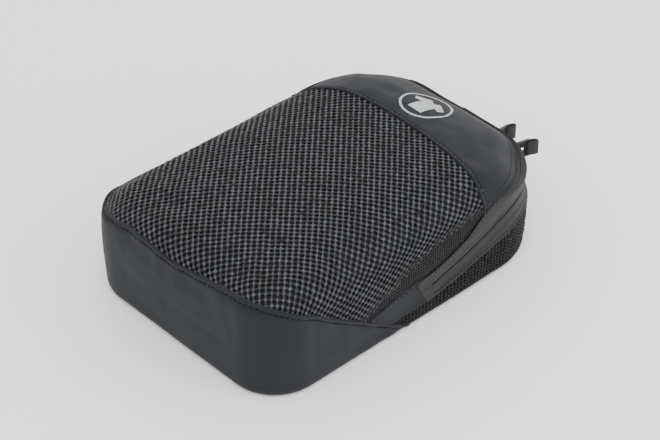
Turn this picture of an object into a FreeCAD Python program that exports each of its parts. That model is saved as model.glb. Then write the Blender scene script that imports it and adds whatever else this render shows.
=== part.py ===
"""Soft packing cube: a mesh-topped fabric pouch with a U-shaped two-slider zipper.

Frame: millimetres, +Z up, origin at the middle of the base.
X runs across the cube, Y along it: the front panel is at -Y, the rounded end with the end panel at +Y.
The zipper runs low along both long sides and rises round the back, so the lid folds open across the top.
"""
import FreeCAD, Part
import os
import Sketcher

doc = FreeCAD.newDocument("packing_cube")
vec = FreeCAD.Vector

# ---------------------------------------------------------------- driving dimensions
DIMENSIONS = {
    # the pouch
    "width": 140.0,
    "length": 200.0,
    "height": 62.0,
    "front_corner": 25.0,        # corner radii seen from above
    "back_corner": 42.0,
    "top_round": 13.0,           # rounding of the edge round the top and the base
    "base_round": 4.0,
    "cloth": 1.0,                # fabric, mesh and tape thickness
    "lining": 1.2,               # inside layer: bindings and zipper coil
    # seam of the front panel, seen from the side
    "front_seam_z": 50.0,
    "front_peak_y": -88.0,
    "front_peak_z": 54.0,
    "front_knee_y": -44.5,
    "front_knee_z": 27.0,
    "front_foot_y": -4.5,
    # crease between the top mesh and the side band
    "crease_start_y": -40.0,
    "crease_start_z": 24.0,
    "crease_bend_y": -21.0,
    "crease_bend_z": 32.5,
    "crease_rear_y": 12.0,
    "crease_rear_z": 45.0,
    "crease_end_z": 47.0,
    # fold line of the lid, and the slanted line down to the zipper's end
    "fold_y": -18.0,
    "split_y": -7.0,
    "split_z": 38.4,
    "split_gap": 0.35,           # each side of the line, between base and lid
    # centre line of the zipper
    "zip_end_y": 2.0,
    "zip_end_z": 18.5,
    "zip_low_y": 16.0,
    "zip_low_z": 20.0,
    "zip_mid_y": 45.0,
    "zip_mid_z": 28.0,
    "zip_back_y": 70.0,
    "zip_back_z": 38.0,
    "zip_half": 10.0,            # from the centre line to the edge of a tape
    "slot_half": 0.8,            # half of the slot that the sliders' necks run in
    "coil_width": 2.2,
    "binding_half": 3.0,         # half width of the bindings that cover the seams inside
    "binding_end_y": -28.0,      # where the front seam's binding runs out
    "binding_end_z": 15.9,
    "stop_length": 2.5,
    "stop_half": 2.0,
    "patch_tip_y": -34.0,
    "patch_tip_z": 19.9,
    "patch_low_y": -16.3,
    "patch_low_z": 8.0,
    "strip_front_y": -2.5,       # front end of the tapes' upper edge
    # seam of the end panel
    "end_seam_y": 42.0,
    "end_seam_bow": 9.0,         # how far the seam bows back at the middle of the top
    # printed mark
    "mark_y": 72.0,
    "mark_size": 28.0,
    "ink": 0.3,
    # sliders
    "left_slider_x": 24.0,
    "right_slider_angle": 76.0,  # round the back right corner, from +X
    "plate_half_length": 4.5,
    "plate_half_width": 3.8,
    "plate_outer": 1.2,
    "plate_inner": 1.0,
    "plate_gap": 0.4,            # air between a plate and the cloth
    "plate_gap_inner": 0.7,
    "neck_half": 0.5,
    "neck_length": 3.0,
    "arch_half_length": 3.3,
    "arch_half_width": 0.9,
    "arch_cap": 1.3,             # top of the arch above the puller's axis
    "weld": 0.2,                 # how far the slider's pieces run into each other
    "eye_height": 3.1,           # the puller's axis above the cloth
    "pin_radius": 0.6,
    "eye_clearance": 0.35,
    "puller_length": 7.6,
    "puller_half_width": 5.2,
    "puller_thick": 1.2,
    "window_half_width": 1.3,
    "window_reach": 4.6,
    "slot_start": 5.5,           # from the puller's axis to the ribbon's slot
    "slot_play": 0.2,
    "ribbon_half_width": 4.2,
    "ribbon_thick": 0.8,
    "ribbon_play": 0.05,
    "ribbon_sewn": 2.5,          # sewn length at the tip
    "ribbon_reach": 16.0,        # tip of the ribbon above the cloth
}

sheet = doc.addObject("Spreadsheet::Sheet", "dims")
for row, (alias, number) in enumerate(DIMENSIONS.items(), start=1):
    sheet.set(f"A{row}", alias)
    sheet.set(f"B{row}", str(number))
    sheet.setAlias(f"B{row}", alias)
doc.recompute()


def bound(expression):
    """The expression with each driving dimension's name turned into a sheet reference."""
    words = []
    for word in expression.split():
        words.append("dims." + word if word in DIMENSIONS else word)
    return " ".join(words)


def number(expression):
    """The number that a bound expression gives, for a sketch's starting shape."""
    return float(sheet.evalExpression(bound(expression)))


# ---------------------------------------------------------------- sketch helpers
ORIGIN_POINT = (-1, 1)
START, END = 1, 2


def pin_point(sketch, edge, end, across, up):
    """Fix one end of an edge at two bound distances from the sketch's origin."""
    for kind, expression in (("DistanceX", across), ("DistanceY", up)):
        index = sketch.addConstraint(
            Sketcher.Constraint(kind, *ORIGIN_POINT, edge, end, number(expression)))
        sketch.setExpression(f"Constraints[{index}]", bound(expression))


def outline(sketch, corners):
    """Closed straight-sided outline; each corner is a pair of expressions."""
    points = [vec(number(across), number(up), 0) for across, up in corners]
    count = len(points)
    for index, start in enumerate(points):
        sketch.addGeometry(Part.LineSegment(start, points[(index + 1) % count]), False)
    for index, (across, up) in enumerate(corners):
        previous = (index - 1) % count
        sketch.addConstraint(Sketcher.Constraint("Coincident", previous, END, index, START))
        pin_point(sketch, index, START, across, up)


def footprint(sketch, inset):
    """Rounded rectangle of the pouch seen from above, drawn in by the expression inset."""
    half_width = number(f"width / 2 - ( {inset} )")
    half_length = number(f"length / 2 - ( {inset} )")
    front = number(f"front_corner - ( {inset} )")
    back = number(f"back_corner - ( {inset} )")
    corners = (  # centre x and y, radius, start angle in quarter turns
        (half_width - front, -half_length + front, front, 3),
        (half_width - back, half_length - back, back, 0),
        (-half_width + back, half_length - back, back, 1),
        (-half_width + front, -half_length + front, front, 2),
    )
    quarter = 1.5707963267948966
    ends = []
    for x, y, radius, turn in corners:
        circle = Part.Circle(vec(x, y, 0), vec(0, 0, 1), radius)
        arc = Part.ArcOfCircle(circle, turn * quarter, (turn + 1) * quarter)
        sketch.addGeometry(arc, False)
        ends.append((arc.StartPoint, arc.EndPoint))
    for index in range(4):
        following = (index + 1) % 4
        sketch.addGeometry(Part.LineSegment(ends[index][1], ends[following][0]), False)
        line = 4 + index
        sketch.addConstraint(Sketcher.Constraint("Tangent", index, END, line, START))
        sketch.addConstraint(Sketcher.Constraint("Tangent", line, END, following, START))
    right, back_line, left, front_line = 4, 5, 6, 7
    sides = (
        (right, "DistanceX", f"width / 2 - ( {inset} )"),
        (back_line, "DistanceY", f"length / 2 - ( {inset} )"),
        (left, "DistanceX", f"( {inset} ) - width / 2"),
        (front_line, "DistanceY", f"( {inset} ) - length / 2"),
    )
    for line, kind, expression in sides:
        direction = "Vertical" if kind == "DistanceX" else "Horizontal"
        sketch.addConstraint(Sketcher.Constraint(direction, line))
        index = sketch.addConstraint(
            Sketcher.Constraint(kind, *ORIGIN_POINT, line, START, number(expression)))
        sketch.setExpression(f"Constraints[{index}]", bound(expression))
    for arc, corner in enumerate(("front_corner", "back_corner", "back_corner", "front_corner")):
        expression = f"{corner} - ( {inset} )"
        index = sketch.addConstraint(Sketcher.Constraint("Radius", arc, number(expression)))
        sketch.setExpression(f"Constraints[{index}]", bound(expression))


def origin_plane(body, role):
    """One of the body's own origin planes."""
    return next(plane for plane in body.Origin.OriginFeatures if plane.Role == role)


# ---------------------------------------------------------------- solid helpers
def feature(kind, name, **expressions):
    """A Part object whose properties are bound to the sheet."""
    item = doc.addObject(kind, name)
    for path, expression in expressions.items():
        item.setExpression(path.replace("__", "."), bound(expression))
    return item


def rounded_block(name, inset):
    """The pouch's whole outer form, drawn in on every side by the expression inset."""
    body = doc.addObject("PartDesign::Body", name)
    sketch = body.newObject("Sketcher::SketchObject", f"{name}_plan")
    sketch.AttachmentSupport = (origin_plane(body, "XY_Plane"), [""])
    sketch.MapMode = "FlatFace"
    sketch.setExpression("AttachmentOffset.Base.z", bound(inset))
    footprint(sketch, inset)
    pad = body.newObject("PartDesign::Pad", f"{name}_pad")
    pad.Profile = sketch
    pad.setExpression("Length", bound(f"height - 2 * ( {inset} )"))
    doc.recompute()
    top, low = rim_edges(pad.Shape)
    crown = body.newObject("PartDesign::Fillet", f"{name}_top")
    crown.Base = (pad, top)
    crown.setExpression("Radius", bound(f"top_round - ( {inset} )"))
    doc.recompute()
    top, low = rim_edges(crown.Shape)
    foot = body.newObject("PartDesign::Fillet", f"{name}_foot")
    foot.Base = (crown, low)
    foot.setExpression("Radius", bound(f"base_round - ( {inset} )"))
    doc.recompute()
    return body


def rim_edges(shape):
    """Names of the edges round the top and round the bottom of a solid."""
    box = shape.BoundBox
    top, low = [], []
    for index, edge in enumerate(shape.Edges, start=1):
        if edge.BoundBox.ZMin > box.ZMax - 0.01:
            top.append(f"Edge{index}")
        if edge.BoundBox.ZMax < box.ZMin + 0.01:
            low.append(f"Edge{index}")
    return top, low


def side_prism(name, corners, side="both"):
    """A straight prism along X with a side-view outline, over both sides or one."""
    body = doc.addObject("PartDesign::Body", f"{name}_region")
    sketch = body.newObject("Sketcher::SketchObject", f"{name}_outline")
    sketch.AttachmentSupport = (origin_plane(body, "YZ_Plane"), [""])
    sketch.MapMode = "FlatFace"
    outline(sketch, corners)
    pad = body.newObject("PartDesign::Pad", f"{name}_prism")
    pad.Profile = sketch
    pad.setExpression("Length", bound("width * 2" if side == "both" else "width"))
    pad.Midplane = side == "both"
    pad.Reversed = side == "left"
    doc.recompute()
    return body


def common(name, *shapes):
    """What all the shapes share."""
    item = doc.addObject("Part::MultiCommon", name)
    item.Shapes = list(shapes)
    return item


def cut(name, base, tool):
    item = doc.addObject("Part::Cut", name)
    item.Base = base
    item.Tool = tool
    return item


def fuse(name, *shapes):
    item = doc.addObject("Part::MultiFuse", name)
    item.Shapes = list(shapes)
    return item


sub_parts = []


def sub_part(item):
    """List a finished piece under its own name."""
    item.Label = item.Name
    sub_parts.append(item)
    return item


# ---------------------------------------------------------------- the pouch's layers
outer_form = rounded_block("outer_form", "0")
cloth_form = rounded_block("cloth_form", "cloth")
lining_form = rounded_block("lining_form", "cloth + lining")


def slab(name, inset, bottom, top):
    """A flat sheet with the pouch's footprint."""
    body = doc.addObject("PartDesign::Body", name)
    sketch = body.newObject("Sketcher::SketchObject", f"{name}_plan")
    sketch.AttachmentSupport = (origin_plane(body, "XY_Plane"), [""])
    sketch.MapMode = "FlatFace"
    sketch.setExpression("AttachmentOffset.Base.z", bound(bottom))
    footprint(sketch, inset)
    pad = body.newObject("PartDesign::Pad", f"{name}_sheet")
    pad.Profile = sketch
    pad.setExpression("Length", bound(f"( {top} ) - ( {bottom} )"))
    doc.recompute()
    return body


base_plug = slab("base_plug", "base_round", "-1", "cloth + lining / 2")
skin_layer = cut("skin_layer", outer_form, cloth_form)
wall_skin = cut("wall_skin", skin_layer, base_plug)
lining_layer = cut("lining_layer", cloth_form, lining_form)

# ---------------------------------------------------------------- side-view lines
FAR = "length"          # well outside the pouch
FRONT_SEAM = [
    ("-1 * length", "front_seam_z"),
    ("front_peak_y - 9", "front_seam_z"),
    ("front_peak_y", "front_peak_z"),
    ("front_knee_y", "front_knee_z"),
    ("front_foot_y", "0"),
]
CREASE = [
    ("crease_start_y", "crease_start_z"),
    ("crease_bend_y", "crease_bend_z"),
    ("split_y", "split_z"),
    ("crease_rear_y", "crease_rear_z"),
    ("end_seam_y", "crease_end_z"),
]
ZIP_LINE = [
    ("zip_end_y", "zip_end_z"),
    ("zip_low_y", "zip_low_z"),
    ("zip_mid_y", "zip_mid_z"),
    ("zip_back_y", "zip_back_z"),
    (FAR, "zip_back_z"),
]


def raised(line, amount):
    """A side-view line moved up by an expression."""
    return [(across, f"{up} + ( {amount} )") for across, up in line]


def moved(line, amount):
    """A side-view line moved back by an expression."""
    return [(f"{across} + ( {amount} )", up) for across, up in line]


def band(line, low, high):
    """The strip between two raised copies of a line."""
    return raised(line, low) + list(reversed(raised(line, high)))


# the slanted line from the fold down to the zipper's end, on the base's side and on the lid's
SPLIT = [("fold_y", "height * 2"), ("fold_y", "height"), ("split_y", "split_z"),
         ("zip_end_y", "zip_end_z")]
SPLIT_BASE = moved(SPLIT, "-1 * split_gap")
SPLIT_LID = moved(SPLIT, "split_gap")


# ---------------------------------------------------------------- base: fabric and mesh
def bottom_panel():
    """Flat fabric floor, sewn in along the rounded lower edge."""
    body = slab("bottom_panel", "base_round", "0", "cloth")
    return sub_part(body)


def front_panel():
    """Fabric front that wraps the two front corners and tapers down along the sides."""
    corners = FRONT_SEAM + [("front_foot_y", "-5"), ("-1 * length", "-5")]
    return sub_part(common("front_panel", wall_skin, side_prism("front_panel", corners)))


def gusset_mesh():
    """Ribbed mesh wall below the zipper, round both sides and the back."""
    corners = [
        ("front_foot_y", "-5"),
        ("front_foot_y", "0"),
        ("patch_low_y", "patch_low_z"),
        ("zip_end_y", "zip_end_z - zip_half"),
    ] + raised(ZIP_LINE[1:], "-1 * zip_half") + [(FAR, "-5")]
    return sub_part(common("gusset_mesh", wall_skin, side_prism("gusset_mesh", corners)))


def top_mesh_front():
    """The still part of the mesh top, in front of the fold."""
    corners = FRONT_SEAM[:4] + CREASE[:2] + [SPLIT_BASE[2], SPLIT_BASE[1], SPLIT_BASE[0],
                                             ("-1 * length", "height * 2")]
    return sub_part(common("top_mesh_front", wall_skin, side_prism("top_mesh_front", corners)))


def side_band_front(side):
    """Dark mesh below the crease, in front of the lid."""
    name = f"side_band_front_{side}"
    corners = [
        CREASE[0],
        ("patch_tip_y", "patch_tip_z"),
        ("strip_front_y - split_gap", "zip_end_z + zip_half"),
        SPLIT_BASE[2],
        CREASE[1],
    ]
    return sub_part(common(name, wall_skin, side_prism(name, corners, side)))


def zipper_end_patch(side):
    """Plain fabric patch that closes the zipper's front end."""
    name = f"zipper_end_patch_{side}"
    corners = [
        ("patch_tip_y", "patch_tip_z"),
        ("patch_low_y", "patch_low_z"),
        ("zip_end_y", "zip_end_z - zip_half"),
        ("zip_end_y", "zip_end_z - slot_half"),
        ("zip_end_y - split_gap", "zip_end_z"),
        ("strip_front_y - split_gap", "zip_end_z + zip_half"),
    ]
    return sub_part(common(name, wall_skin, side_prism(name, corners, side)))


def zipper_tape_lower():
    """Lower zipper tape, sewn to the gusset."""
    corners = band(ZIP_LINE, "-1 * zip_half", "-1 * slot_half")
    return sub_part(common("zipper_tape_lower", wall_skin,
                           side_prism("zipper_tape_lower", corners)))


def zipper_coil_lower():
    """Lower half of the coil, on the inside of the tape."""
    corners = band(ZIP_LINE, "-1 * slot_half - coil_width", "-1 * slot_half")
    return sub_part(common("zipper_coil_lower", lining_layer,
                           side_prism("zipper_coil_lower", corners)))


def zipper_stop(side):
    """Metal stop clamped in front of the coil's end, on the inside."""
    name = f"zipper_stop_{side}"
    corners = [
        ("zip_end_y - 3 * split_gap - stop_length", "zip_end_z - stop_half"),
        ("zip_end_y - 3 * split_gap", "zip_end_z - stop_half"),
        ("zip_end_y - 3 * split_gap", "zip_end_z + stop_half"),
        ("zip_end_y - 3 * split_gap - stop_length", "zip_end_z + stop_half"),
    ]
    return sub_part(common(name, lining_layer, side_prism(name, corners, side)))


def bottom_binding():
    """Bias binding over the seam round the floor, on the inside."""
    ring = slab("bottom_binding_ring", "cloth / 2", "base_round",
                "base_round + 0.9 * binding_half")
    return sub_part(common("bottom_binding", lining_layer, ring))


def gusset_binding():
    """Binding over the seam between the gusset and the lower tape, on the inside."""
    corners = band(ZIP_LINE, "-1 * zip_half - binding_half / 2",
                   "-1 * zip_half + binding_half / 2")
    return sub_part(common("gusset_binding", lining_layer,
                           side_prism("gusset_binding", corners)))


def front_seam_binding():
    """Binding over the front panel's seam, on the inside."""
    line = FRONT_SEAM[:4] + [("binding_end_y", "binding_end_z")]
    corners = band(line, "-1 * binding_half / 2", "binding_half / 2")
    return sub_part(common("front_seam_binding", lining_layer,
                           side_prism("front_seam_binding", corners)))


# ---------------------------------------------------------------- lid
def end_panel_region(name):
    """The space behind the end panel's seam, which bows back across the top."""
    body = doc.addObject("PartDesign::Body", f"{name}_region")
    sketch = body.newObject("Sketcher::SketchObject", f"{name}_outline")
    sketch.AttachmentSupport = (origin_plane(body, "XY_Plane"), [""])
    sketch.MapMode = "FlatFace"
    side, seam, middle = number("width"), number("end_seam_y"), number("end_seam_y + end_seam_bow")
    arc = Part.Arc(vec(side / 2, seam, 0), vec(0, middle, 0), vec(-side / 2, seam, 0))
    corners = [("-1 * width / 2", "end_seam_y"), ("-1 * width", "end_seam_y"), ("-1 * width", "length"),
               ("width", "length"), ("width", "end_seam_y"), ("width / 2", "end_seam_y")]
    points = [vec(number(across), number(up), 0) for across, up in corners]
    for start, finish in zip(points, points[1:]):
        sketch.addGeometry(Part.LineSegment(start, finish), False)
    bow = sketch.addGeometry(arc, False)
    for index, (across, up) in enumerate(corners[:-1]):
        pin_point(sketch, index, START, across, up)
        if index:
            sketch.addConstraint(Sketcher.Constraint("Coincident", index - 1, END, index, START))
    last = len(corners) - 2
    pin_point(sketch, last, END, *corners[-1])
    sketch.addConstraint(Sketcher.Constraint("Coincident", bow, START, last, END))
    sketch.addConstraint(Sketcher.Constraint("Coincident", bow, END, 0, START))
    radius = "( width * width / 4 + end_seam_bow * end_seam_bow ) / ( 2 * end_seam_bow )"
    index = sketch.addConstraint(Sketcher.Constraint("Radius", bow, number(radius)))
    sketch.setExpression(f"Constraints[{index}]", bound(radius))
    pad = body.newObject("PartDesign::Pad", f"{name}_prism")
    pad.Profile = sketch
    pad.setExpression("Length", bound("height * 2"))
    doc.recompute()
    return body


behind_end_seam = end_panel_region("behind_end_seam")
behind_end_binding = end_panel_region("behind_end_binding")
behind_end_binding.setExpression("Placement.Base.y", bound("binding_half"))

LID_FRONT = [SPLIT_LID[0], SPLIT_LID[1], SPLIT_LID[2]]


front_skin = cut("lid_front_skin", wall_skin, behind_end_seam)   # in front of the end panel


def top_mesh():
    """Mesh top of the lid, from the fold to the end panel, down to the crease on each side."""
    corners = LID_FRONT + CREASE[3:] + [(FAR, "crease_end_z"), (FAR, "height * 2")]
    return sub_part(common("top_mesh", front_skin, side_prism("top_mesh", corners)))


def side_band(side):
    """Dark mesh between the crease and the upper tape."""
    name = f"side_band_{side}"
    corners = [SPLIT_LID[2], ("strip_front_y + split_gap", "zip_end_z + zip_half")]
    corners += raised(ZIP_LINE[1:4], "zip_half")
    corners += [("zip_back_y", "crease_end_z")] + list(reversed(CREASE[3:]))
    return sub_part(common(name, front_skin, side_prism(name, corners, side)))


def end_panel():
    """Fabric end panel over the rounded back, above the upper tape."""
    corners = raised(ZIP_LINE[1:], "zip_half") + [(FAR, "height * 2"), ("zip_low_y", "height * 2")]
    return sub_part(common("end_panel", wall_skin, behind_end_seam,
                           side_prism("end_panel", corners)))


def upper_strip(low, high):
    """Strip above the zipper's centre line, cut off at the lid's slanted front."""
    line = [("zip_end_y + split_gap", "zip_end_z")] + ZIP_LINE[1:]
    corners = raised(line, low) + list(reversed(raised(line, high)))
    if high == "zip_half":
        corners[-1] = ("strip_front_y + split_gap", "zip_end_z + zip_half")
    return corners


def zipper_tape_upper():
    """Upper zipper tape, sewn to the lid."""
    corners = upper_strip("slot_half", "zip_half")
    return sub_part(common("zipper_tape_upper", wall_skin,
                           side_prism("zipper_tape_upper", corners)))


def zipper_coil_upper():
    """Upper half of the coil, on the inside of the tape."""
    corners = upper_strip("slot_half", "slot_half + coil_width")
    return sub_part(common("zipper_coil_upper", lining_layer,
                           side_prism("zipper_coil_upper", corners)))


def lid_seam_binding():
    """Binding over the seam between the upper tape and the lid, on the inside."""
    line = [("zip_end_y + 3 * split_gap", "zip_end_z")] + ZIP_LINE[1:]
    corners = band(line, "zip_half - binding_half / 2", "zip_half + binding_half / 2")
    return sub_part(common("lid_seam_binding", lining_layer,
                           side_prism("lid_seam_binding", corners)))


def end_seam_binding():
    """Binding over the end panel's seam, on the inside."""
    strip = cut("end_seam_strip", behind_end_seam, behind_end_binding)
    low = "zip_back_z + zip_half + binding_half"
    corners = [("zip_low_y", low), (FAR, low), (FAR, "height * 2"), ("zip_low_y", "height * 2")]
    return sub_part(common("end_seam_binding", lining_layer, strip,
                           side_prism("end_seam_binding", corners)))


def printed_mark():
    """Generic mark printed on the end panel: a plain T-shirt inside a thin ring.

    half is the right half of the shirt from the collar down, in parts of the mark's size.
    """
    ring = feature("Part::Cylinder", "mark_disc", Radius="mark_size / 2", Height="ink",
                   Placement__Base__y="mark_y", Placement__Base__z="height")
    hole = feature("Part::Cylinder", "mark_hole", Radius="mark_size / 2 - 1.4", Height="ink",
                   Placement__Base__y="mark_y", Placement__Base__z="height")
    shirt = doc.addObject("PartDesign::Body", "mark_shirt")
    sketch = shirt.newObject("Sketcher::SketchObject", "mark_shirt_outline")
    sketch.AttachmentSupport = (origin_plane(shirt, "XY_Plane"), [""])
    sketch.MapMode = "FlatFace"
    sketch.setExpression("AttachmentOffset.Base.z", bound("height"))
    half = (("0.14", "0.32"), ("0.22", "0.35"), ("0.445", "0.14"), ("0.32", "0.02"),
            ("0.22", "0.10"), ("0.22", "-0.36"))
    right = [(f"{across} * mark_size", f"mark_y + {up} * mark_size") for across, up in half]
    left = [(f"-1 * {across}", up) for across, up in reversed(right)]
    outline(sketch, right + left)
    pad = shirt.newObject("PartDesign::Pad", "mark_shirt_ink")
    pad.Profile = sketch
    pad.setExpression("Length", bound("ink"))
    return sub_part(fuse("printed_mark", cut("mark_ring", ring, hole), shirt))


# ---------------------------------------------------------------- sliders
# Each slider is drawn with the cloth's outer face at y = 0, its way of travel along x, z up.
def side_block(name, x, y, z, length, depth, tall):
    """A box given by its low corner and size."""
    return feature("Part::Box", name, Placement__Base__x=x, Placement__Base__y=y, Placement__Base__z=z,
                   Length=length, Width=depth, Height=tall)


def slider_body(side):
    """Zipper slider: two plates, the neck between the coils and the arch that holds the puller."""
    name = f"slider_body_{side}"
    plate = ("2 * plate_half_length", "2 * plate_half_width")
    corner = ("-1 * plate_half_length", "-1 * plate_half_width")
    inner_face = "-1 * cloth - lining - plate_gap_inner"
    outer_face = "plate_gap + plate_outer"
    outer_plate = side_block(f"{name}_outer", corner[0], "plate_gap", corner[1],
                             plate[0], "plate_outer", plate[1])
    inner_plate = side_block(f"{name}_inner", corner[0], f"{inner_face} - plate_inner", corner[1],
                             plate[0], "plate_inner", plate[1])
    neck = side_block(f"{name}_neck", "-1 * neck_length / 2", f"{inner_face} - weld", "-1 * neck_half",
                      "neck_length", f"plate_gap + 2 * weld - ( {inner_face} )", "2 * neck_half")
    arch = side_block(f"{name}_arch", "-1 * arch_half_length", f"{outer_face} - weld",
                      "-1 * arch_half_width", "2 * arch_half_length",
                      f"eye_height + arch_cap + weld - ( {outer_face} )", "2 * arch_half_width")
    eye = feature("Part::Cylinder", f"{name}_eye", Radius="pin_radius + eye_clearance",
                  Height="4 * arch_half_width", Placement__Base__y="eye_height",
                  Placement__Base__z="-2 * arch_half_width")
    return sub_part(cut(name, fuse(f"{name}_pieces", outer_plate, inner_plate, neck, arch), eye))


def slider_pull(side):
    """Puller: a flat frame whose cross pin turns in the slider's arch."""
    name = f"slider_pull_{side}"
    plate = side_block(f"{name}_plate", "-1 * puller_thick / 2", "eye_height", "-1 * puller_half_width",
                       "puller_thick", "puller_length", "2 * puller_half_width")
    window = side_block(f"{name}_window", "-1 * puller_thick", "eye_height - puller_thick",
                        "-1 * window_half_width", "2 * puller_thick", "window_reach + puller_thick",
                        "2 * window_half_width")
    slot = side_block(f"{name}_slot", "-1 * puller_thick", "eye_height + slot_start",
                      "-1 * ribbon_half_width - slot_play", "2 * puller_thick",
                      "ribbon_thick + 2 * slot_play", "2 * ribbon_half_width + 2 * slot_play")
    pin = feature("Part::Cylinder", f"{name}_pin", Radius="pin_radius", Height="2 * puller_half_width",
                  Placement__Base__y="eye_height", Placement__Base__z="-1 * puller_half_width")
    framed = cut(f"{name}_frame", plate, fuse(f"{name}_holes", window, slot))
    return sub_part(fuse(name, framed, pin))


def pull_ribbon(side):
    """Ribbon folded through the puller's slot, its two ends sewn together at the tip."""
    name = f"pull_ribbon_{side}"
    start = "eye_height + slot_start + slot_play"
    reach = f"ribbon_reach - ( {start} )"
    inside = "puller_thick / 2 + ribbon_play"
    low = "-1 * ribbon_half_width"
    tall = "2 * ribbon_half_width"
    fold = side_block(f"{name}_fold", f"-1 * ( {inside} )", start, low,
                      f"2 * ( {inside} )", "ribbon_thick", tall)
    near = side_block(f"{name}_near", inside, start, low, "ribbon_thick", reach, tall)
    far = side_block(f"{name}_far", f"-1 * ( {inside} ) - ribbon_thick", start, low,
                     "ribbon_thick", reach, tall)
    tip = side_block(f"{name}_tip", f"-1 * ( {inside} )", "ribbon_reach - ribbon_sewn", low,
                     f"2 * ( {inside} )", "ribbon_sewn", tall)
    return sub_part(fuse(name, fold, near, far, tip))


def place_left(item):
    """On the straight run at the back, left of the other slider."""
    item.setExpression("Placement.Base.x", bound("left_slider_x"))
    item.setExpression("Placement.Base.y", bound("length / 2"))
    item.setExpression("Placement.Base.z", bound("zip_back_z"))


def place_right(item):
    """Round the back right corner."""
    item.setExpression("Placement.Base.x",
                       bound("width / 2 - back_corner + back_corner * cos( right_slider_angle )"))
    item.setExpression("Placement.Base.y",
                       bound("length / 2 - back_corner + back_corner * sin( right_slider_angle )"))
    item.setExpression("Placement.Base.z", bound("zip_back_z"))
    item.setExpression("Placement.Rotation.Angle", bound("right_slider_angle - 90"))
    item.Placement.Rotation.Axis = vec(0, 0, 1)


def slider(side, place):
    """One slider with its puller and ribbon."""
    for make in (slider_body, slider_pull, pull_ribbon):
        place(make(side))


# ---------------------------------------------------------------- build
bottom_panel()
front_panel()
gusset_mesh()
top_mesh_front()
zipper_tape_lower()
zipper_coil_lower()
bottom_binding()
gusset_binding()
front_seam_binding()
top_mesh()
end_panel()
zipper_tape_upper()
zipper_coil_upper()
lid_seam_binding()
end_seam_binding()
printed_mark()
for side in ("left", "right"):
    side_band_front(side)
    side_band(side)
    zipper_end_patch(side)
    zipper_stop(side)
slider("left", place_left)
slider("right", place_right)

doc.recompute()
for item in doc.Objects:
    if "Invalid" in item.State or "Error" in item.State:
        raise RuntimeError(f"{item.Name} did not build: {item.State}")
for item in sub_parts:
    if item.Shape.isNull() or not item.Shape.isValid() or item.Shape.Volume <= 0:
        raise RuntimeError(f"{item.Label} has no valid shape")

os.makedirs("parts", exist_ok=True)
for item in sub_parts:
    item.Shape.exportStep(f"parts/{item.Label}.step")
    box = item.Shape.BoundBox
    print(f"{item.Label:26s} solids {len(item.Shape.Solids)}  volume {item.Shape.Volume:9.1f}"
          f"  x {box.XMin:6.1f} {box.XMax:6.1f}  y {box.YMin:6.1f} {box.YMax:6.1f}"
          f"  z {box.ZMin:6.1f} {box.ZMax:6.1f}")
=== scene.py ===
import math

import bpy
import numpy as np
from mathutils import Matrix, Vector
from mathutils.kdtree import KDTree


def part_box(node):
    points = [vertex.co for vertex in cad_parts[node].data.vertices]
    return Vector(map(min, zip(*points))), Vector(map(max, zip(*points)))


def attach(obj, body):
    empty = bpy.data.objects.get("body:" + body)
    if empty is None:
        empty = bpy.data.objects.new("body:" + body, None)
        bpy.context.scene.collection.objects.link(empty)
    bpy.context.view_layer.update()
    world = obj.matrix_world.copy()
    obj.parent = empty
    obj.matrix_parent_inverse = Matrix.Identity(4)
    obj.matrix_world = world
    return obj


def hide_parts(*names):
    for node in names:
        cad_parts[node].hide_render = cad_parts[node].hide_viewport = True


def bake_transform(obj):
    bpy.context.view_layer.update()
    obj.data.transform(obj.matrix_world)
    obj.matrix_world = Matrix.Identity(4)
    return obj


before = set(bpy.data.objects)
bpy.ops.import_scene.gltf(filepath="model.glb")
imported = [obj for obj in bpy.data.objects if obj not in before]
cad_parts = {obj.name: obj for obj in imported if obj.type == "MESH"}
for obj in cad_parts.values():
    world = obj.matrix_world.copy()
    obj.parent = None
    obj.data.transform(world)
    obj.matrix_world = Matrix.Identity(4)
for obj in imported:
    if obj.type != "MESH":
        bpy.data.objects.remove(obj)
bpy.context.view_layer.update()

# ================================================================ sizes
# All sizes below are millimetres in the model's frame; MM turns them into Blender's metres.
MM = 0.001


def cad(node, corner, axis):
    """One coordinate of a CAD node's box: corner 0 is the lowest, 1 the highest."""
    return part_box(node)[corner][axis] / MM


HALF_W = cad("front_panel", 1, 0)
HALF_L = cad("gusset_mesh", 1, 1)
HEIGHT = cad("top_mesh", 1, 2)
FRONT_R = 25.0          # corner radii seen from above
BACK_R = 42.0
TOP_R = 13.0            # rounding of the top edge and of the foot
BASE_R = 4.0
ZIP_BACK = (cad("slider_body_left", 0, 2) + cad("slider_body_left", 1, 2)) / 2

# lengths along the outline seen from above, from the middle of the front
RUN_FRONT = HALF_W - FRONT_R
RUN_CORNER = RUN_FRONT + math.pi / 2 * FRONT_R
RUN_SIDE = RUN_CORNER + 2 * HALF_L - FRONT_R - BACK_R
RUN_BACK = RUN_SIDE + math.pi / 2 * BACK_R
RUN_END = RUN_BACK + HALF_W - BACK_R

rng = np.random.default_rng(7)

# how far the filled cloth stands off the CAD's plain shape
BELLY = 1.2             # swell of the walls without a zipper
BELLY_ABOVE = 0.6       # swell above and below the zipper
BELLY_BELOW = 0.8
CROWN = 1.4             # rise of the top's middle
SAG_LEFT = 12.0         # how far the top's edges sink, as in the photograph
SAG_RIGHT = 4.0
SAG_BACK = 14.0
CORNER_TUCK = 4.0       # how far the back corners pull in at the top

# the cloth simulation
PRESSURE = 3.0
SEAM_HOLD = 0.5         # how firmly a seam is pinned, from 0 to 1
SIM_FRAMES = 16
MAX_SHIFT = 4.0

# the zipper
TAPE_GAP = 0.56         # half the slot between the tapes, which lets a slider's neck pass
COIL_MIDDLE = 1.95      # from the zipper's line to the middle of a coil half
COIL_HALF = 1.12        # half the height of its loops
SLIDER_REACH = 4.5      # the sag starts this far above the zipper, clear of the sliders' plates


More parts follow.
